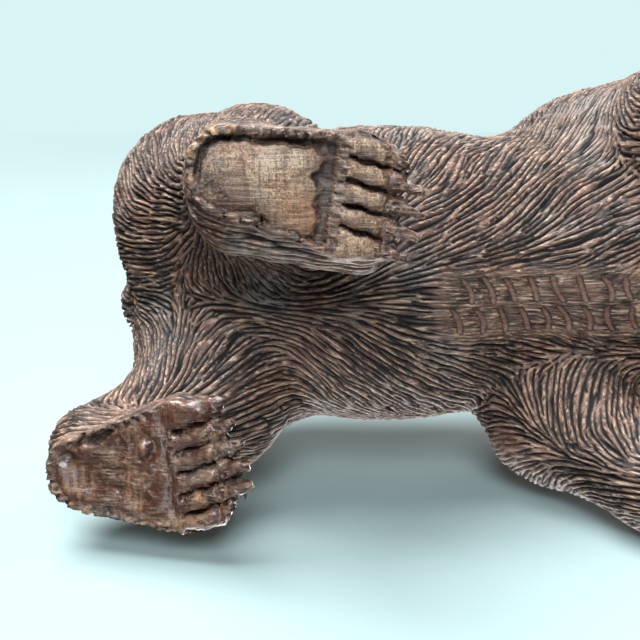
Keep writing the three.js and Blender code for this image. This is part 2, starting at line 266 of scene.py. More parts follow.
def sole_relief(x, y, leg):
    """How deep the sole is cut at each place, and the marks that its finish needs."""
    rows, pitch = toe_rows(leg)
    lifted = leg["rise"] > 0
    outline = sole_outline(x, y, leg["breadth"])
    outer = smooth(-7, 3, y)
    wander = 0.5 * np.sin(x * 0.7 + 1) + 0.35 * np.sin(x * 1.9 + y * 0.9)
    wander = wander + 0.25 * np.sin(y * 2.3 - x * 0.8)

    # The rim of fur round the sole, torn across where the gouge crossed it.
    lip = outline + RIM_TO_TRENCH + 1.2 * outer + 0.35 * wander
    turn = np.arctan2(y - 1.5, np.maximum(20 - x, 0)) * 13
    turn = turn + np.sign(y) * np.maximum(x - 20, 0)
    torn = np.sin(turn * 3.1 + 1.7 * np.sin(turn * 0.8) + 1.2 * np.sin(turn * 0.37 + 1))
    torn = smooth(0.45, 1.0, torn + 0.25 * np.sin(turn * 1.1))
    torn = torn * outer * smooth(-0.6, 0.3, lip) * (x < 37)

    # The pad, with a trench that is steep at the rim and eases up to the pad.
    arch = 1.7 * np.exp(-(((x - 17) / 5) ** 2)) * (1 - outer)
    pad = outline + RIM_TO_PAD + 2.1 * outer + arch + 0.5 * wander
    pad = -melt(-pad, PAD_FRONT - 0.5 * wander + 0.012 * y * y - x, 9)
    side_depth = 3.0 - 2.2 * outer if lifted else 1.5 + 1.9 * outer
    deep = np.where(x > 33, 0.4 if lifted else 2.6, side_depth)
    deep = side_depth + (deep - side_depth) * smooth(31, 35, x)
    back = TRENCH_FRONT + 0.3 * wander
    trench = deep * smooth(-0.3, 1.2, pad) * smooth(0.1, -0.5, lip)
    trench = trench * smooth(0.5, -1.2, x - back)
    shelf = smooth(-1.2, 0.5, x - back) * smooth(41.4, 39.8, x) * (outline < 1)
    shelf = shelf * (1.0 + 0.5 * np.sin(y * 2.1 + x) + 0.35 * np.sin(y * 4.3))
    shelf = shelf * (0.2 if lifted else 1)

    # Toes divided by slanted cuts, a cut across their ends, then ribbed claws.
    toes = smooth(39.6, 41, x) * smooth(52, 50.8, x)
    claws = smooth(51.4, 52.4, x)
    slanted = y - leg["slant"] * (x - 46) + 0.3 * np.sin(x * 1.1 + 0.4 * y)
    gap = np.min([np.abs(slanted - row - pitch / 2) for row in rows[:-1]], axis=0)
    crescent = np.abs(y - rows[-1] - 0.62 * pitch + 0.035 * (x - 44) ** 2)
    gap = np.where(x < 51, np.minimum(gap, crescent), gap)
    cuts = 3.4 * toes * smooth(0.85, 0.45, gap)
    width = (0.05 if lifted else 0.12) * (x - 52)
    cuts = cuts + 2.8 * claws * smooth(0.6 + width, 0.15 + width, gap)
    past_line = x - CLAW_LINE - 0.35 * np.sin(y * 0.9)
    line = 1.7 * np.exp(-((past_line / 0.5) ** 2)) * (outline < 4)
    ribs = 0.5 + 0.5 * np.cos(slanted * 5.0 + 0.8 * np.sin(x * 0.8) + np.sin(slanted * 0.9))

    # The lifted sole is hollowed, with a knot near its front and a pit at its heel.
    hollow = 0 * x
    if lifted:
        hollow = 2.2 * smooth(0.3, -6, pad)
        lines = np.sin(y * 4.8 + np.sin(x * 0.3) + 0.8 * np.sin(y * 1.3 + x * 0.12))
        hollow = hollow + 0.32 * lines * smooth(0, -3, pad) * smooth(-6, 0, y)
        knot = np.hypot(x - 31.5, y + 6.5)
        hollow = hollow - 1.7 * smooth(3, 1, knot) + 0.9 * np.exp(-(((knot - 3.6) / 0.8) ** 2))
        pit = 3.2 * np.exp(-(((x - 7) / 3) ** 2) - ((y + 3.5) / 2.3) ** 2)
        trench = np.maximum(trench, pit)
        round_toe = smooth(0.52, 0.08, gap / pitch)
        past_ball = x - 38 - 0.4 * np.sin(y * 0.5)
        hollow = hollow + 1.1 * np.exp(-((past_ball / 0.8) ** 2))
        hollow = hollow + toes * (1.1 * round_toe + 0.15 * np.sin(slanted * 4.1 + x * 0.2))
    cut = np.maximum(np.maximum(trench, shelf), cuts) + line + 1.2 * torn
    marks = dict(pad=pad, toes=toes, claws=claws, outline=outline, lip=lip, cut=cut, ribs=ribs)
    return cut + claws * (0.4 + 0.6 * ribs) + hollow, marks


middle_of_pad = np.array([20.0]), np.array([0.0])
for name, leg in LEGS.items():
    print(name, "pad cut in by", round(float(sole_relief(*middle_of_pad, leg)[0][0]), 2), "mm")

# %% A whole paw
# How far each claw reaches from the heel, from the outer one in, by the number of toes.
CLAW_TIPS = {5: (56.0, 60.8, 61.8, 61.6, 59.2), 6: (56.0, 61.6, 61.2, 60.4, 59.0, 57.0)}
PAW_HEIGHT = 12.5
PAW_ROUNDING = 3
UNDER_SOLE = 5  # the block goes on below the sole, and the sole's cut takes that off


def paw_distance(q, leg):
    """Distance to a paw, before its sole is cut."""
    x, y, z = q.T
    crown = PAW_HEIGHT - 0.07 * np.maximum(x - 20, 0)
    wall = sole_outline(x, y, leg["breadth"]) + PAW_ROUNDING
    roof = np.abs(z - (crown - UNDER_SOLE) / 2) - (crown + UNDER_SOLE) / 2 + PAW_ROUNDING
    block = np.minimum(np.maximum(wall, roof), 0)
    block = block + np.hypot(np.maximum(wall, 0), np.maximum(roof, 0)) - PAW_ROUNDING
    rows, pitch = toe_rows(leg)
    size = pitch / 2
    slant = leg["slant"]
    blunt = 1.8 if leg["rise"] else 1.2
    for row, tip in zip(rows[::-1], CLAW_TIPS[len(rows)]):
        knuckle = (38, row - slant * 6.4, 6.2)
        pad = (47.6, row + slant * 1.6, 3.9)
        toe = limb(knuckle, pad, size * 1.3, size * 1.35)
        block = melt(block, toe(q), 1.2)
        root = (50.3, row + slant * 4.3, 3.7)
        for drift, short in ((-0.12, 0), (0.3, 1.8)):
            end = (tip - blunt - short, row + slant * 10 + drift * pitch, blunt + 0.8)
            block = melt(block, limb(root, end, size * 1.12, blunt)(q), 0.5)
    return block


def near_paw(q):
    """True for points round the paw, where its shape can matter."""
    return (q[:, 2] < 24) & (q[:, 0] > -9) & (q[:, 0] < 70) & (np.abs(q[:, 1]) < 30)


for name, leg in LEGS.items():
    print(name, "has", leg["toes"], "toes", round(toe_rows(leg)[1], 1), "mm apart")

# %% [markdown]
# ## Face
#
# The face is kept plain: sockets pressed in beside the muzzle with a bead of an eye in
# each, a leathery nose with two nostrils, a cut for the mouth, and cupped ears. Below the
# tail there is a hollow where the gouge turned.

# %% Face and hollows
EYES = [spot(199.5, side * 13.5, 118) for side in (-1, 1)]
NOSE = spot(NOSE_STATION, 0, 97.5)


def carve_face(d, p):
    """Cuts sockets, ears, nostrils and a mouth, and adds the eyes and the nose."""
    for eye in EYES:
        d = scoop(d, egg(eye, [5, 4.6, 3.6], 20)(p), 2.5)
        d = melt(d, egg(eye - [0, -2.0, 0], [2.7, 2.7, 2.7])(p), 0.5)
    d = melt(d, egg(NOSE, [4.5, 7.2, 5])(p), 2)
    for side in (-1, 1):
        d = scoop(d, egg(NOSE + [side * 3, -3.6, -0.5], [2.4, 1.5, 1.8])(p), 1)
        d = scoop(d, egg(spot(177.5, side * 23, 137), [4.5, 6, 8], -10)(p), 1.5)
        corner = spot(196, side * 15.5, 92)
        mouth = limb(corner, spot(NOSE_STATION, side * 1.5, 87), 0.9, 0.9)
        d = scoop(d, mouth(p), 1.5)
    return d


def carve_hollows(d, p):
    """Cuts the two hollows below the tail."""
    d = scoop(d, egg(spot(-60, 11, 72), [6, 6, 4])(p), 3)
    return scoop(d, egg(spot(-50, 13, 60), [5, 5, 4])(p), 3)


print("eyes", round(float(EYES[1][0] - EYES[0][0]), 1), "mm apart")

# %% The whole form
FACE_STATION = 165  # the face is cut forward of this station
RUMP_STATION = -35  # the hollows are cut behind this one


def melted(p, masses, d=None):
    """Melts masses together one by one, into an earlier form if there is one."""
    for distance, blend in masses:
        skin = distance(p)
        d = skin if d is None else melt(d, skin, blend)
    return d


def leg_skin(p):
    return melted(p, LEG_MASSES)


def bear_distance(p):
    """Distance from the carved form, without its fur."""
    d = melted(p, LEG_MASSES, melted(p, TRUNK))
    d = melted(p, HEAD + EARS + TAIL, d)
    front = p[:, 1] < MIDDLE_STATION - FACE_STATION
    d[front] = carve_face(d[front], p[front])
    back = p[:, 1] > MIDDLE_STATION - RUMP_STATION
    d[back] = carve_hollows(d[back], p[back])
    for leg in LEGS.values():
        q = in_paw(p, leg)
        near = near_paw(q)
        q = q[near]
        depth, _ = sole_relief(q[:, 0], q[:, 1], leg)
        whole = melt(d[near], paw_distance(q, leg), 3)
        d[near] = np.maximum(whole, (depth - q[:, 2]) * 0.8)
    return np.maximum(d, -p[:, 2])


inside_trunk = spot(40, 0, 80)[None]
print("the trunk's middle is", round(float(-bear_distance(inside_trunk)[0]), 1), "mm deep")

# %% [markdown]
# ## Turning distances into a surface
#
# A lattice is laid over the form. Every cell that the skin passes through gets one
# vertex, neighbouring cells are joined by quads, and each vertex is then slid along the
# slope until it lies on the skin. The mesh is split where the gouge will work finest.

# %% Lattice to mesh
CELL = 1.35
BATCHES = 24  # the lattice is measured in batches, to spare memory


def lattice_surface(distance, low, high, cell):
    """Vertices and triangles roughly on the skin, one vertex in each cell it crosses."""
    axes = [np.arange(a, b, cell, dtype=np.float32) for a, b in zip(low, high)]
    grid = np.stack(np.meshgrid(*axes, indexing="ij"), -1).reshape(-1, 3)
    values = np.concatenate([distance(part) for part in np.array_split(grid, BATCHES)])
    values = values.reshape([len(a) for a in axes])
    inside = values < 0
    corners = [(i, j, k) for i in (0, 1) for j in (0, 1) for k in (0, 1)]
    size = np.array(values.shape) - 1
    shifted = lambda a, c: a[tuple(slice(s, s + n) for s, n in zip(c, size))]
    count = sum(shifted(inside, c).astype(np.int8) for c in corners)
    cells = np.argwhere((count > 0) & (count < len(corners)))
    total = np.zeros((len(cells), 3))
    crossings = np.zeros(len(cells))
    for a in corners:
        for b in corners:
            if sum(b) - sum(a) != 1 or np.abs(np.subtract(a, b)).sum() != 1:
                continue
            va = values[tuple((cells + a).T)]
            vb = values[tuple((cells + b).T)]
            cut = (va < 0) != (vb < 0)
            t = np.where(cut, va / np.where(cut, va - vb, 1), 0)[:, None]
            total += cut[:, None] * (np.array(a) + t * np.subtract(b, a))
            crossings += cut
    verts = (cells + total / crossings[:, None]) * cell + [a[0] for a in axes]
    number = np.full(size, -1, np.int64)
    number[tuple(cells.T)] = np.arange(len(cells))
    quads = []
    for axis in range(3):
        u = np.eye(3, dtype=int)[(axis + 1) % 3]
        v = np.eye(3, dtype=int)[(axis + 2) % 3]
        ahead = np.diff(inside.astype(np.int8), axis=axis)
        at = np.argwhere(ahead)
        way = ahead[tuple(at.T)]
        ring = np.stack([number[tuple((at - s).T)] for s in (0 * u, u, u + v, v)], 1)
        quads.append(np.where((way < 0)[:, None], ring, ring[:, ::-1]))
    quads = np.concatenate(quads)
    return verts, np.concatenate([quads[:, [0, 1, 2]], quads[:, [0, 2, 3]]])


def slope_of(distance, p, d, step=0.12):
    """How fast the distance grows along each axis, measured over a short step."""
    sides = []
    for axis in np.eye(3, dtype=np.float32):
        sides.append((distance(p + step * axis) - d) / step)
    return np.stack(sides, 1)


def settle(distance, p, turns=1):
    """Slides points onto the skin and gives their outward directions."""
    p = p.astype(np.float32)
    for _ in range(turns):
        d = distance(p)
        slope = slope_of(distance, p, d)
        steep = np.maximum((slope * slope).sum(1), 0.3)
        p = p - slope * np.clip(d / steep, -1, 1)[:, None]
    return p, slope / np.sqrt(steep)[:, None]


room_below = 4
room_above = 6
low = np.array([v / MM for v in frame_low]) - room_below
high = np.array([v / MM for v in frame_high]) + room_above
verts, tris = lattice_surface(bear_distance, low, high, CELL)
verts, normals = settle(bear_distance, verts, 2)
print(len(verts), "lattice vertices,", round(time.time() - started, 1), "s")


# %% Splitting triangles
def refine(verts, tris, marked):
    """Splits every edge of the marked triangles, and their neighbours to match."""
    ends = np.sort(tris[:, [[0, 1], [1, 2], [2, 0]]], axis=2).astype(np.int64)
    key = ends[..., 0] * len(verts) + ends[..., 1]
    split = np.unique(key[marked])
    place = np.minimum(np.searchsorted(split, key), len(split) - 1)
    is_split = split[place] == key
    middle = len(verts) + place
    added = (verts[split // len(verts)] + verts[split % len(verts)]) / 2
    count = is_split.sum(1)
    pieces = [tris[count == 0]]
    a, b, c = tris[count == 3].T
    ab, bc, ca = middle[count == 3].T
    for piece in ((a, ab, ca), (ab, b, bc), (ca, bc, c), (ab, bc, ca)):
        pieces.append(np.stack(piece, 1))
    for number, first in ((1, lambda s: s.argmax(1)), (2, lambda s: (s.argmin(1) + 1) % 3)):
        chosen = count == number
        turn = (first(is_split[chosen])[:, None] + np.arange(3)) % 3
        a, b, c = np.take_along_axis(tris[chosen], turn, 1).T
        ab, bc, _ = np.take_along_axis(middle[chosen], turn, 1).T
        if number == 1:
            pieces += [np.stack((a, ab, c), 1), np.stack((ab, b, c), 1)]
        else:
            pieces += [np.stack(t, 1) for t in ((ab, b, bc), (a, ab, bc), (a, bc, c))]
    return np.concatenate([verts, added.astype(verts.dtype)]), np.concatenate(pieces)


CAMERA_PLACE = spot(0, -60, -227)
FINE_STATION = 112  # the finest work lies behind this station


def shown_most(points, outward):
    """The underside and hindquarters, where the carver's finest work is."""
    facing = ((CAMERA_PLACE - points) * outward).sum(1)
    return (facing > -20) & (points[:, 1] > MIDDLE_STATION - FINE_STATION)


verts, tris = refine(verts, tris, np.ones(len(tris), bool))
verts, normals = settle(bear_distance, verts)
fine = shown_most(verts[tris].mean(1), normals[tris].mean(1))
verts, tris = refine(verts, tris, fine)
verts, normals = settle(bear_distance, verts)
print(len(tris), "triangles before the fur,", round(time.time() - started, 1), "s")

# %% [markdown]
# ## The lie of the fur
#
# Fur lies backwards along the trunk and falls down the flanks, runs down the legs, and
# turns forward over the paws. Each gouge mark follows that direction. A slow, irregular
# ripple turns it a few degrees, because no hand cuts straight lines.

# %% Directions and regions
SEED = 11


def ripple(p, size, seed):
    """A smooth irregular value between about -1 and 1 that varies over a size."""
    random = np.random.default_rng(SEED + seed)
    total = 0
    for _ in range(6):
        way = random.normal(size=3)
        way = (way / np.linalg.norm(way)).astype(np.float32)
        pace = 2 * math.pi / size * random.uniform(0.6, 1.5)
        total = total + np.sin(p @ way * pace + random.uniform(0, 6.3))
    return total / 3


def unit(v):
    """Directions of length one."""
    return v / np.maximum(np.sqrt((v * v).sum(1)), 1e-6)[:, None]


def paw_marks(p):
    """For every point: paw-frame place of its nearest paw, and that paw's name."""
    nearest = np.full(len(p), -1)
    local = np.zeros((len(p), 3), np.float32)
    for number, leg in enumerate(LEGS.values()):
        q = in_paw(p, leg)
        near = near_paw(q)
        nearest[near], local[near] = number, q[near]
    return nearest, local


def ball(p, station, left, up, radius):
    """1 inside a round region, fading to 0 at its edge."""
    away = p - spot(station, left, up)
    return smooth(radius, radius * 0.55, np.sqrt((away * away).sum(1)))


def fur_direction(p, n):
    """The way the fur lies at each point, along the skin."""
    leg_share = smooth(14, -1, leg_skin(p)) * smooth(95, 70, p[:, 2])
    paw, local = paw_marks(p)
    paw_share = smooth(19, 9, local[:, 2]) * (paw >= 0)
    back, down = np.array([0, 1, 0]), np.array([0, 0, -1])
    station = MIDDLE_STATION - p[:, 1]
    steep = 0.75 + 0.65 * smooth(95, 55, station)
    steep = steep + 1.0 * smooth(70, 20, station) * smooth(5, -20, p[:, 0])
    trunk = back + steep[:, None] * down
    swept = 0.35 + 1.0 * smooth(40, 75, p[:, 2]) * smooth(60, 90, station)
    leg = down + swept[:, None] * back
    forward = np.array([0, -1, -0.25])
    way = trunk * (1 - leg_share)[:, None] + leg * leg_share[:, None]
    way = way * (1 - paw_share)[:, None] + forward * paw_share[:, None]
    head = smooth(MIDDLE_STATION - 150, MIDDLE_STATION - 172, p[:, 1])[:, None]
    way = way * (1 - head) + (back + 0.35 * down) * head
    across = np.cross(n, way)
    turn = 0.24 * ripple(p, 34, 1) + 0.12 * ripple(p, 11, 2)
    way = unit(way - (way * n).sum(1)[:, None] * n)
    way = way + turn[:, None] * unit(across)
    return unit(way).astype(np.float32)


def mark_band(p, n):
    """The band along the belly where the maker left two rows of shallow strokes."""
    station, left = MIDDLE_STATION - p[:, 1], p[:, 0] + MIDDLE_LEFT
    under = smooth(0.6, 0.85, -n[:, 2]) * (p[:, 2] < 60)
    along = smooth(33, 37, station) * smooth(112, 108, station)
    return under * along * smooth(13.5, 10, np.abs(left - 1.5))


lie = fur_direction(verts[:1], normals[:1])[0]
print("fur at the first vertex lies along", lie.round(2))

# %% [markdown]
# ## Gouge marks
#
# Painting stripes along a changing direction tears them where it bends. Instead, small
# patches of parallel stripes are scattered over the skin, each turned to the fur there,
# and added as waves: the sum is a set of long marks that fork, merge and run out, as
# gouge cuts do. A few rounds of matching each patch to its neighbours joins them up.

# %% Patches of stripes
PATCH_LENGTH = 7.0
PATCH_DEPTH = 4  # a patch reaches this far through the skin, so folds stay apart


def thin_out(p, spacing):
    """Picks scattered points, no more than one in each small cube."""
    order = np.random.default_rng(SEED).permutation(len(p))
    cube = np.floor(p[order] / spacing).astype(np.int64) + 200
    _, first = np.unique(cube @ np.array([1, 1000, 1000000]), return_index=True)
    return order[first]


def stripe_wave(points, patches):
    """Sum of the patches' waves at each point, and how much they agree."""
    place, along, across, out, pace, phase, wide = patches
    # Cubes are numbered along x, then y, then z, so a row of three has numbers in a row.
    cube = lambda p: (np.floor(p / PATCH_LENGTH).astype(np.int64) + 60) @ [1, 200, 40000]
    point_cube, patch_cube = cube(points), cube(place)
    point_order, patch_order = np.argsort(point_cube), np.argsort(patch_cube)
    names, first = np.unique(point_cube[point_order], return_index=True)
    last = np.append(first[1:], len(points))
    sorted_cubes = patch_cube[patch_order]
    around = np.array([j * 200 + k * 40000 for j in (-1, 0, 1) for k in (-1, 0, 1)])
    wave = np.zeros(len(points), np.complex64)
    weight = np.full(len(points), 1e-6)
    for name, start, stop in zip(names, first, last):
        lows = np.searchsorted(sorted_cubes, name + around - 1)
        highs = np.searchsorted(sorted_cubes, name + around + 1, side="right")
        near = np.concatenate([patch_order[a:b] for a, b in zip(lows, highs)])
        if not len(near):
            continue
        here = point_order[start:stop]
        centre = points[here[0]]
        p, at = points[here] - centre, place[near] - centre
        a = p @ along[near].T - (at * along[near]).sum(1)
        b = p @ across[near].T - (at * across[near]).sum(1)
        c = p @ out[near].T - (at * out[near]).sum(1)
        w = 1 - (a / PATCH_LENGTH) ** 2 - (b / wide) ** 2 - (c / PATCH_DEPTH) ** 2
        rows, columns = np.nonzero(w > 0)
        w = w[rows, columns] ** 2
        angle = b[rows, columns] * pace[near][columns] + phase[near][columns]
        real = np.bincount(rows, w * np.cos(angle), len(here))
        imaginary = np.bincount(rows, w * np.sin(angle), len(here))
        wave[here] = real + 1j * imaginary
        weight[here] += np.bincount(rows, w, len(here))
    return wave, np.abs(wave) / weight


def stripe_patches(points, outward, wavelength, spacing, wide, seed):
    """Scatters patches over the skin and matches each one's stripes to its neighbours'."""
    picked = thin_out(points, spacing)
    p, n = points[picked], outward[picked]
    along = fur_direction(p, n)
    across = np.cross(n, along).astype(np.float32)
    random = np.random.default_rng(SEED + seed)
    pace = 2 * math.pi / (wavelength(p, n) * random.uniform(0.78, 1.3, len(p)))
    pace = pace.astype(np.float32)
    phase = random.uniform(0, 2 * math.pi, len(p)).astype(np.float32)
    for _ in range(4):
        wave, _ = stripe_wave(p, (p, along, across, n, pace, phase, wide))
        phase = np.angle(wave).astype(np.float32)
    return p, along, across, n, pace, phase, wide


def gouge_spacing(p, n):
    """Millimetres between cuts: finer underneath and in the marked band."""
    shown = np.where(shown_most(p, n), 1.72, 2.3)
    return shown * (1 - 0.36 * mark_band(p, n)) * (1 + 0.12 * ripple(p, 25, 3))


def tuft_spacing(p, n):
    """Millimetres between the deeper partings that gather the gouge marks into tufts."""
    return 5.2 * (1 + 0.2 * ripple(p, 30, 10))


patches = stripe_patches(verts, normals, gouge_spacing, 2.7, 2.1, 1)
tufts = stripe_patches(verts, normals, tuft_spacing, 4.0, 4.6, 2)
print(len(patches[0]), "patches of gouge marks and", len(tufts[0]), "of tufts,",
      round(time.time() - started, 1), "s")

# %% [markdown]
# ## How deep each cut is
#
# A gouge leaves a narrow, dark valley and a broader ridge. The depth is eased off where a
# mark runs out, on the soles and claws, on the smooth elbow, over the nose and eyes, and
# in the marked band. The strokes in that band are short bars that all lean the same way,
# cut wider and shallower than the fur.

# %% Strokes along the belly
STROKE_ROWS = ((6.2, 41.0), (-3.0, 44.0))  # each row's left, and its first station
LAST_STROKE = 106
STROKE_REACH = 1.35  # from a stroke's middle line to its edge


def strokes():
    """Two rows of short slanted strokes: each one's place, lean, bend and half length."""
    random = np.random.default_rng(SEED + 50)
    for left, station in STROKE_ROWS:
        while station < LAST_STROKE:
            lean, bend = random.uniform(0.3, 0.5), random.uniform(-1.2, 1.2)
            yield station, left, lean, bend, random.uniform(2.8, 3.5)
            station += random.uniform(5.6, 7.6)


def stroke_depth(p, n):
    """1 in the middle of a stroke, fading to 0 at its edge."""
    station, left = MIDDLE_STATION - p[:, 1], p[:, 0] + MIDDLE_LEFT
    cut = np.zeros(len(p))
    for middle, row, lean, bend, half in strokes():
        up = left - row
        t = np.clip(up / half, -1, 1)
        off = station - middle - lean * up - bend * (1 - t * t)
        over = np.maximum(np.abs(up) - half, 0)
        cut = np.maximum(cut, np.clip(STROKE_REACH - np.hypot(off, over), 0, 1))
    return cut * (mark_band(p, n) > 0.02)


print(len(list(strokes())), "strokes along the belly")

# %% Masks round the soles
def sole_masks(p, n, masks):
    """Fills in what the finish needs to know on and round each sole."""
    paw, local = paw_marks(p)
    for number, leg in enumerate(LEGS.values()):
        here = paw == number
        x, y, z = local[here].T
        _, marks = sole_relief(x, y, leg)
        facing = -(n[here] @ paw_frame(leg)[1][:, 2])
        under = smooth(5.2, 3.0, z) * smooth(0.5, -0.3, marks["lip"] - 3 * (x > 38))
        under = under * (x < 53)
        sole = under * smooth(0.0, 0.5, facing + 0.5 * (z < 2))
        claw = smooth(49.5, 51.5, x) * (z < 10)
        level = smooth(0.8, 0.25, z) * smooth(0.4, 0.85, facing)
        worn = np.maximum(smooth(0.3, -0.6, marks["pad"]), marks["toes"]) * level
        rim = smooth(-1.0, 0.4, marks["lip"]) * smooth(1.8, 0.4, z) * (x < 46)
        rim = rim * smooth(-0.1, 0.5, ripple(p[here], 4, 4)) * smooth(-4, 3, y)
        masks["sole"][here], masks["claw"][here] = sole, claw
        masks["edge"][here] = smooth(5, 2, z) * (np.abs(marks["outline"]) < 3.5)
        masks["ribs"][here] = claw * smooth(51.4, 53, x) * marks["ribs"]
        # How deep the sole is cut here: it dulls the gloss and sets the painted shade in the
        # cuts.
        deep_cut = smooth(0.6, 2.4, marks["cut"]) * np.maximum(sole, marks["claws"])
        if leg["rise"]:
            masks["glossy"][here] = np.maximum(sole, claw) * (1 - 0.8 * deep_cut)
            masks["raw"][here] = np.maximum(0.6 * rim, 0.6 * smooth(59.6, 61.2, x))
        else:
            masks["bare"][here] = worn
            masks["glossy"][here] = 0.35 * np.maximum(claw, sole * (1 - worn) * (1 - deep_cut))
            masks["raw"][here] = np.maximum(rim * smooth(17, 9, x), 0.6 * smooth(60, 62, x))
        # Painted shade: the deep cuts in the sole are darkened, a little unevenly.
        masks["cut_shade"][here] = deep_cut * (0.75 + 0.25 * ripple(p[here], 3, 9))
        masks["lobe"][here] = smooth(21, 29, x) * smooth(1, -6, y) * smooth(37, 34, x)


SOLE_MASKS = ("sole", "claw", "edge", "ribs", "bare", "glossy", "raw", "cut_shade", "lobe")
print("round the soles:", ", ".join(SOLE_MASKS))


# %% The fur's height and the stain's masks
FUR_DEPTH = 0.9
FINE_FUR_DEPTH = 1.1
TUFT_DEPTH = 0.75
STROKE_DEPTH = 1.15
CLAW_RIB_DEPTH = 0.55
EYE_REACH = 4.0
NOSE_REACH = 8.0


def carve(p, n):
    """The height to add at each point and the masks for the stain and painted shade."""
    wave, agreement = stripe_wave(p, patches)
    from_ridge = np.abs(np.angle(wave)) / math.pi
    from_tuft = np.abs(np.angle(stripe_wave(p, tufts)[0])) / math.pi
    lasting = 0.15 + 0.85 * smooth(0.15, 0.5, agreement)
    masks = {name: np.zeros(len(p)) for name in SOLE_MASKS}
    sole_masks(p, n, masks)
    face = np.zeros(len(p))
    for centre, radius in [(eye, EYE_REACH) for eye in EYES] + [(NOSE, NOSE_REACH)]:
        away = np.sqrt(((p - centre) ** 2).sum(1))
        face = np.maximum(face, smooth(radius, radius * 0.7, away))
    patch = ball(p, 61, 51, 45, 11)
    cut = stroke_depth(p, n)
    band = mark_band(p, n)
    sole, claw, edge, ribs = (masks.pop(name) for name in SOLE_MASKS[:4])
    quiet = np.maximum.reduce([sole, claw, 0.6 * edge, face, 0.5 * patch, 0.68 * band])
    strength = (1 - quiet) * (1 - cut) * lasting
    uneven = np.clip(1 + 0.35 * ripple(p, 16, 5) + 0.35 * ripple(p, 5, 8), 0.25, 1.6)
    shown = np.where(shown_most(p, n), FINE_FUR_DEPTH, FUR_DEPTH)
    height = -shown * uneven * strength * smooth(0.3, 0.97, from_ridge)
    parting = (1 - quiet) * (1 - cut) * np.clip(0.55 + 0.6 * ripple(p, 12, 11), 0, 1)
    height -= TUFT_DEPTH * parting * smooth(0.6, 1.0, from_tuft)
    height += 0.28 * ripple(p, 9, 6) * (1 - np.maximum(sole, face))
    height += 0.12 * ripple(p, 1.7, 7) * np.maximum(sole, claw)
    height -= STROKE_DEPTH * cut * cut * (3 - 2 * cut) + CLAW_RIB_DEPTH * ribs
    standing = (n[:, 2] < -0.9) & (p[:, 2] < 0.05)
    height[standing] = 0
    groove = smooth(0.42, 0.86, from_ridge) * strength * np.clip(1.2 * uneven, 0.3, 1.3)
    groove = np.maximum(groove, parting * smooth(0.74, 0.95, from_tuft))
    groove = np.maximum(groove, 0.75 * smooth(0.35, 1, ribs))
    dust = ball(p, -14, -20, 14, 16)
    masks.update(groove=groove, face=face, patch=patch, strokes=cut, dust=dust)
    return height, masks


height, _ = carve(verts, normals)
carved = verts + normals * height[:, None]
carved[:, 2] = np.maximum(carved[:, 2], 0)
print("gouges up to", round(float(-height.min()), 2), "mm deep,",
      round(time.time() - started, 1), "s")


# %% [markdown]
# ## A lighter mesh
#
# The carved surface holds far more triangles than it needs. Collapsing edges where the
# surface is flat keeps the ridges and valleys, because their sides are flat along the
# cut, and drops nearly everything between.

# %% Build and lighten
TRIANGLE_BUDGET = 192000


def mesh_from(name, verts, tris):
    """A smooth-shaded mesh, filled straight from arrays."""
    mesh = bpy.data.meshes.new(name)
    mesh.vertices.add(len(verts))
    mesh.vertices.foreach_set("co", np.asarray(verts, np.float32).ravel())
    mesh.loops.add(len(tris) * 3)
    mesh.loops.foreach_set("vertex_index", tris.astype(np.int32).ravel())
    mesh.polygons.add(len(tris))
    mesh.polygons.foreach_set("loop_start", np.arange(0, len(tris) * 3, 3, dtype=np.int32))
    mesh.polygons.foreach_set("use_smooth", np.ones(len(tris), bool))
    mesh.update(calc_edges=True)
    return mesh


heavy = bpy.data.objects.new("heavy", mesh_from("heavy", carved, tris))
bpy.context.scene.collection.objects.link(heavy)
lighten = heavy.modifiers.new("lighten", "DECIMATE")
lighten.ratio = TRIANGLE_BUDGET / len(tris)
light_mesh = bpy.data.meshes.new_from_object(
    heavy.evaluated_get(bpy.context.evaluated_depsgraph_get())
)
bpy.data.objects.remove(heavy)
light_mesh.transform(Matrix.Scale(MM, 4))
light_mesh.name = "carved_bear"
bear = bpy.data.objects.new("carved_bear", light_mesh)
bpy.context.scene.collection.objects.link(bear)
print(len(light_mesh.polygons), "triangles kept,", round(time.time() - started, 1), "s")

# %% Masks on the light mesh
places = np.zeros(len(light_mesh.vertices) * 3, np.float32)
light_mesh.vertices.foreach_get("co", places)
places = places.reshape(-1, 3) / MM
skin = bear_distance(places)
outward = unit(slope_of(bear_distance, places, skin, 0.5))
_, masks = carve(places, outward)
for name, values in masks.items():
    layer = light_mesh.attributes.new(name, "FLOAT", "POINT")
    layer.data.foreach_set("value", np.clip(values, 0, 1).astype(np.float32))
layer = light_mesh.attributes.new("lie", "FLOAT_VECTOR", "POINT")
layer.data.foreach_set("vector", fur_direction(places, outward).ravel())
print("masks:", ", ".join(masks), round(time.time() - started, 1), "s")

# %% [markdown]
# ## Stain, wear and shine
#
# The wood was stained dark brown and waxed. Its cuts are darkened as painted shade and its
# ridges carry lighter tan streaks; the soles the bear stands on are worn to bare wood, while
# the lifted paw and the claws keep a thick red-brown gloss.

# %% A small kit for materials
wood = bpy.data.materials.new("stained_wood")
wood.use_nodes = True
nodes = wood.node_tree.nodes
links = wood.node_tree.links
shader = nodes["Principled BSDF"]
coords = nodes.new("ShaderNodeTexCoord")


def plug(value, socket):
    """Links another node's output, or sets a plain value."""
    if isinstance(value, bpy.types.NodeSocket):
        links.new(value, socket)
    else:
        socket.default_value = value


def mask(name):
    node = nodes.new("ShaderNodeAttribute")
    node.attribute_name = name
    return node.outputs["Fac"]


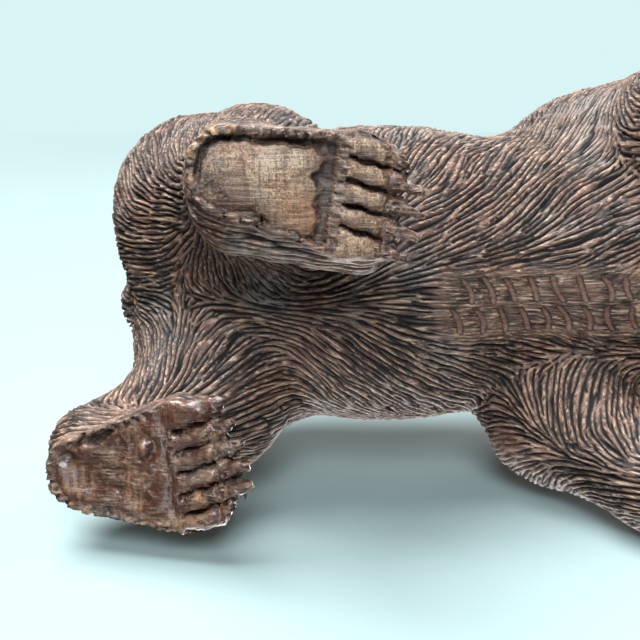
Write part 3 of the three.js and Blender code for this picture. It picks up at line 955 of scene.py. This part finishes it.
def noise(scale, detail=3.0, roughness=0.55, stretch=(1, 1, 1)):
    """Irregular values round 0.5; the scale is how many clouds fit in a metre."""
    place = nodes.new("ShaderNodeMapping")
    plug(coords.outputs["Object"], place.inputs["Vector"])
    place.inputs["Scale"].default_value = stretch
    node = nodes.new("ShaderNodeTexNoise")
    plug(place.outputs["Vector"], node.inputs["Vector"])
    for name, value in (("Scale", scale), ("Detail", detail), ("Roughness", roughness)):
        node.inputs[name].default_value = value
    return node.outputs["Fac"]


STRAND_WAYS = (
    (0, 1, 0), (0, 0, 1), (1, 0, 0), (0, 1, 1), (0, -1, 1), (1, 1, 0), (-1, 1, 0)
)


def strands(scale, stretch=11):
    """Fine streaks that run the way the fur lies, from a few fixed directions."""
    lie = nodes.new("ShaderNodeAttribute")
    lie.attribute_name = "lie"
    total = 0.0
    shares = 0.0
    for way in STRAND_WAYS:
        way = Vector(way).normalized()
        dot = nodes.new("ShaderNodeVectorMath")
        dot.operation = "DOT_PRODUCT"
        plug(lie.outputs["Vector"], dot.inputs[0])
        dot.inputs[1].default_value = way
        share = maths("POWER", maths("ABSOLUTE", dot.outputs["Value"]), 10.0)
        place = nodes.new("ShaderNodeMapping")
        place.vector_type = "TEXTURE"
        plug(coords.outputs["Object"], place.inputs["Vector"])
        turn = Vector((1, 0, 0)).rotation_difference(way).to_euler()
        place.inputs["Rotation"].default_value = turn
        place.inputs["Scale"].default_value = (stretch, 1, 1)
        node = nodes.new("ShaderNodeTexNoise")
        plug(place.outputs["Vector"], node.inputs["Vector"])
        node.inputs["Scale"].default_value = scale
        node.inputs["Detail"].default_value = 3
        node.inputs["Roughness"].default_value = 0.65
        total = maths("MULTIPLY_ADD", share, node.outputs["Fac"], total)
        shares = maths("ADD", shares, share)
    return maths("DIVIDE", total, shares, clamp=True)


def ramp(value, low, high):
    """Eases from 0 at the low value to 1 at the high one."""
    node = nodes.new("ShaderNodeMapRange")
    node.interpolation_type = "SMOOTHSTEP"
    plug(value, node.inputs["Value"])
    node.inputs["From Min"].default_value = low
    node.inputs["From Max"].default_value = high
    return node.outputs["Result"]


def maths(operation, *values, clamp=False):
    node = nodes.new("ShaderNodeMath")
    node.operation = operation
    node.use_clamp = clamp
    for value, socket in zip(values, node.inputs):
        plug(value, socket)
    return node.outputs[0]


def mix(share, under, over):
    node = nodes.new("ShaderNodeMix")
    node.data_type = "RGBA"
    plug(share, node.inputs["Factor"])
    for value, name in ((under, "A"), (over, "B")):
        socket = next(s for s in node.inputs if s.name == name and s.type == "RGBA")
        if isinstance(value, tuple):
            value = (*value, 1.0)
        plug(value, socket)
    return next(s for s in node.outputs if s.type == "RGBA")


def some(share, amount):
    """Part of a mask."""
    return maths("MULTIPLY", share, amount, clamp=True)


def both(a, b):
    return maths("MULTIPLY", a, b)


print("masks and noise are ready for", wood.name)

# %% Colours
UMBER = (0.042, 0.022, 0.016)
BROWN = (0.150, 0.084, 0.056)
RUSSET = (0.130, 0.052, 0.034)
TAN = (0.46, 0.32, 0.225)
# Near black: the eyes and nose, and painted shade in the cuts, valleys and fine streaks.
BLACK_AND_SHADE = (0.0035, 0.002, 0.002)
CHERRY = (0.055, 0.015, 0.007)
OCHRE = (0.235, 0.130, 0.078)
STROKE_BROWN = (0.17, 0.085, 0.06)
BARE = (0.21, 0.118, 0.072)
PALE = (0.40, 0.30, 0.205)
AMBER = (0.36, 0.14, 0.05)
CHAFF = (0.6, 0.48, 0.36)
RAW = (0.42, 0.26, 0.14)
DUST = (0.30, 0.31, 0.26)
PALE_GREY = (0.19, 0.19, 0.185)

# %% Stain on the fur: brown clouds, tan streaks on the ridges, painted shade in dark streaks
groove, glossy, bare, strokes_cut = map(mask, ("groove", "glossy", "bare", "strokes"))
grain = noise(420, 4)
speckle = noise(1500)
streaks = strands(1250)
colour = mix(ramp(noise(95), 0.36, 0.64), UMBER, BROWN)
colour = mix(some(ramp(noise(60, 2), 0.5, 0.7), 0.6), colour, RUSSET)
# Lighter tan streaks on the ridges, fewer where the grooves are deep.
ridge = maths("POWER", maths("SUBTRACT", 1.0, groove, clamp=True), 2.0)
ridge = both(ramp(streaks, 0.48, 0.64), ridge)
colour = mix(both(ridge, maths("MULTIPLY_ADD", grain, 1.1, 0.15)), colour, TAN)
# Pale grey clouds laid at random over the colour.
colour = mix(some(ramp(noise(38), 0.52, 0.72), 0.4), colour, PALE_GREY)
# Painted shade: where the strand streaks run low, their fine valleys are darkened to near
# black.
colour = mix(some(ramp(streaks, 0.48, 0.37), 0.9), colour, BLACK_AND_SHADE)

# %% Gloss on the lifted paw and claws, and the strokes
saw_marks = noise(800, 3, 0.6, (0.10, 1, 1))
colour = mix(both(glossy, ramp(noise(160, 4), 0.75, 0.35)), colour, CHERRY)
thin_gloss = both(glossy, ramp(noise(110), 0.44, 0.62))
colour = mix(some(both(thin_gloss, ramp(saw_marks, 0.40, 0.62)), 0.75), colour, OCHRE)
colour = mix(some(mask("patch"), 0.5), colour, RUSSET)
# Painted shade round the edges of each stroke; the brown in their middles is stain.
colour = mix(some(ramp(strokes_cut, 0.02, 0.3), 0.75), colour, BLACK_AND_SHADE)
colour = mix(some(ramp(strokes_cut, 0.3, 0.9), 0.7), colour, STROKE_BROWN)

# %% Bare wood on the soles, then dust, torn wood, and painted shade in the cuts
bare_wood = mix(ramp(noise(130, 6, 0.75, (1, 0.6, 1)), 0.42, 0.60), BARE, PALE)
bare_wood = mix(some(mask("lobe"), 0.95), bare_wood, AMBER)
bare_wood = mix(some(ramp(saw_marks, 0.52, 0.40), 0.55), bare_wood, UMBER)
bare_wood = mix(some(ramp(speckle, 0.52, 0.40), 0.6), bare_wood, UMBER)
bare_wood = mix(some(ramp(noise(2100), 0.56, 0.66), 0.6), bare_wood, CHAFF)
colour = mix(some(bare, 0.95), colour, bare_wood)
colour = mix(both(mask("raw"), ramp(grain, 0.38, 0.55)), colour, RAW)
colour = mix(both(mask("dust"), ramp(noise(300, 4), 0.4, 0.8)), colour, DUST)
# Painted shade: the trench round the pad, the toe cuts and the claw line go near black.
colour = mix(some(mask("cut_shade"), 0.9), colour, BLACK_AND_SHADE)
# Painted shade: the gouge valleys, the partings between tufts and the claw ribs go near black.
colour = mix(some(groove, 1.45), colour, BLACK_AND_SHADE)
colour = mix(mask("face"), colour, BLACK_AND_SHADE)
plug(colour, shader.inputs["Base Color"])
print("stain, gloss and bare wood painted")

# %% Roughness, polish and fine relief
COAT_SHARE = 0.45
COAT_ROUGHNESS = 0.18
WOOD_SPECULAR = 0.4
BUMP_HEIGHT = 0.0007  # metres

rough = maths("MULTIPLY_ADD", speckle, 0.3, 0.38)
for part, change in ((groove, 0.4), (glossy, -0.28), (bare, 0.5), (mask("face"), -0.2)):
    rough = maths("MULTIPLY_ADD", part, change, rough)
rough = maths("MINIMUM", maths("MAXIMUM", rough, 0.16), 0.95)
plug(rough, shader.inputs["Roughness"])
plug(some(glossy, COAT_SHARE), shader.inputs["Coat Weight"])
shader.inputs["Coat Roughness"].default_value = COAT_ROUGHNESS
shader.inputs["Specular IOR Level"].default_value = WOOD_SPECULAR

bump = nodes.new("ShaderNodeBump")
bump.inputs["Strength"].default_value = 1.0
bump.inputs["Distance"].default_value = BUMP_HEIGHT
fine = maths("MULTIPLY_ADD", speckle, 0.25, some(streaks, 0.9))
fine = maths("MULTIPLY_ADD", both(saw_marks, bare), 0.5, fine)
plug(maths("MULTIPLY_ADD", grain, 0.2, fine), bump.inputs["Height"])
plug(bump.outputs["Normal"], shader.inputs["Normal"])
light_mesh.materials.clear()
light_mesh.materials.append(wood)

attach(bear, "root")
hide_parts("bear")
print("stained:", bear.name)

# %% [markdown]
# ## Table, floor and light
#
# The bear was laid on its left side on a pale table to show its underside. Here it keeps
# standing, and the table is stood up beside it. A pale floor lies under its feet, seen
# only from above, so a camera under the ground looks straight at the soles.


# %% One-sided planes
def one_sided(name, colour):
    """Paint that shows on a plane's front and is clear from behind."""
    material = bpy.data.materials.new(name)
    material.use_nodes = True
    tree = material.node_tree
    paint = tree.nodes["Principled BSDF"]
    paint.inputs["Base Color"].default_value = (*colour, 1)
    paint.inputs["Roughness"].default_value = 0.7
    side = tree.nodes.new("ShaderNodeNewGeometry")
    clear = tree.nodes.new("ShaderNodeBsdfTransparent")
    pick = tree.nodes.new("ShaderNodeMixShader")
    tree.links.new(side.outputs["Backfacing"], pick.inputs[0])
    tree.links.new(paint.outputs[0], pick.inputs[1])
    tree.links.new(clear.outputs[0], pick.inputs[2])
    tree.links.new(pick.outputs[0], tree.nodes["Material Output"].inputs["Surface"])
    return material


def plane(name, centre, u, v, half, material):
    """A square, u by v, that casts no shadow and stays out of reflections."""
    corners = [Vector(centre) + half * (Vector(u) * a + Vector(v) * b)
               for a, b in ((-1, -1), (1, -1), (1, 1), (-1, 1))]
    mesh = bpy.data.meshes.new(name)
    mesh.from_pydata([tuple(c) for c in corners], [], [(0, 1, 2, 3)])
    mesh.materials.append(material)
    made = bpy.data.objects.new(name, mesh)
    bpy.context.scene.collection.objects.link(made)
    made.visible_shadow = made.visible_diffuse = made.visible_glossy = False
    return made


floor_paint = one_sided("floor_paint", (0.66, 0.70, 0.69))
table_paint = one_sided("table_paint", (0.222, 0.292, 0.292))
backdrop_paint = one_sided("backdrop_paint", (0, 0, 0))
glow = backdrop_paint.node_tree.nodes["Principled BSDF"].inputs
glow["Emission Color"].default_value = (0.68, 0.895, 0.905, 1)
glow["Emission Strength"].default_value = 1.0

table_side = frame_high.x + 0.0008
floor = plane("floor", (0, 0, 0), (1, 0, 0), (0, 1, 0), 3, floor_paint)
table = plane("table", (table_side, 0, 0), (0, 0, 1), (0, 1, 0), 8, table_paint)
backdrop = plane("backdrop", (0, 0, 3.0), (0, 1, 0), (1, 0, 0), 9, backdrop_paint)
print("table faces -X:", table.data.polygons[0].normal.x < 0)

# %% World and lights
world = bpy.data.worlds.new("soft_room")
bpy.context.scene.world = world
world.use_nodes = True
sky_glow = world.node_tree.nodes["Background"].inputs
sky_glow["Color"].default_value = (0.86, 0.96, 0.93, 1)
sky_glow["Strength"].default_value = 0.24


def soft_light(name, place, aim, size, power, colour=(1, 1, 1)):
    data = bpy.data.lights.new(name, "AREA")
    data.size = size
    data.energy = power
    data.color = colour
    light = bpy.data.objects.new(name, data)
    light.location = place
    light.rotation_euler = (Vector(aim) - Vector(place)).to_track_quat("-Z", "Y").to_euler()
    bpy.context.scene.collection.objects.link(light)


sky = bpy.data.lights.new("overhead", "SUN")
sky.energy = 9.0
sky.angle = math.radians(40)
sky.color = (0.95, 0.98, 1.0)
overhead = bpy.data.objects.new("overhead", sky)
overhead.rotation_euler = Vector((0.90, -0.30, -0.10)).to_track_quat("-Z", "Y").to_euler()
bpy.context.scene.collection.objects.link(overhead)
soft_light("window", (-0.42, 0.08, -0.49), (0, 0, 0.04), 0.3, 7.0, (0.90, 0.96, 1.0))
table_glow = (0.88, 0.96, 1.0)
soft_light("glow_off_the_table", (0.24, 0.13, -0.36), (0.03, 0.07, 0), 0.2, 0.6, table_glow)
soft_light("room", (-0.5, -0.6, 0.9), (0, 0, 0.06), 0.8, 12)
soft_light("far_side", (0.45, -0.35, 0.95), (0, 0, 0.08), 0.7, 8)
soft_light("far_side_low", (0.80, 0.05, 0.30), (0, 0, 0.08), 0.6, 9)
print(len(bpy.data.lights), "lights")

# %% [markdown]
# ## Camera
#
# The camera is under the ground, below and a little behind the belly, and looks up with
# the bear's right side at the top of the frame. The lens is a normal one, close by.

# %% Camera
VIEW_TILT = math.radians(14)
camera_data = bpy.data.cameras.new("camera")
camera_data.sensor_width = 36
camera_data.lens = 50.85
camera_data.clip_start = 0.01
camera_data.clip_end = 50
camera = bpy.data.objects.new("camera", camera_data)
look = Vector((math.sin(VIEW_TILT), 0, math.cos(VIEW_TILT)))
image_up = Vector((-math.cos(VIEW_TILT), 0, math.sin(VIEW_TILT)))
image_right = look.cross(image_up)
axes = Matrix((image_right, image_up, -look)).transposed()
camera.matrix_world = Matrix.Translation(Vector(CAMERA_PLACE.tolist()) * MM) @ axes.to_4x4()
bpy.context.scene.collection.objects.link(camera)
bpy.context.scene.camera = camera
bpy.context.scene.view_settings.view_transform = "Standard"
print("camera at", [round(v, 3) for v in camera.location])
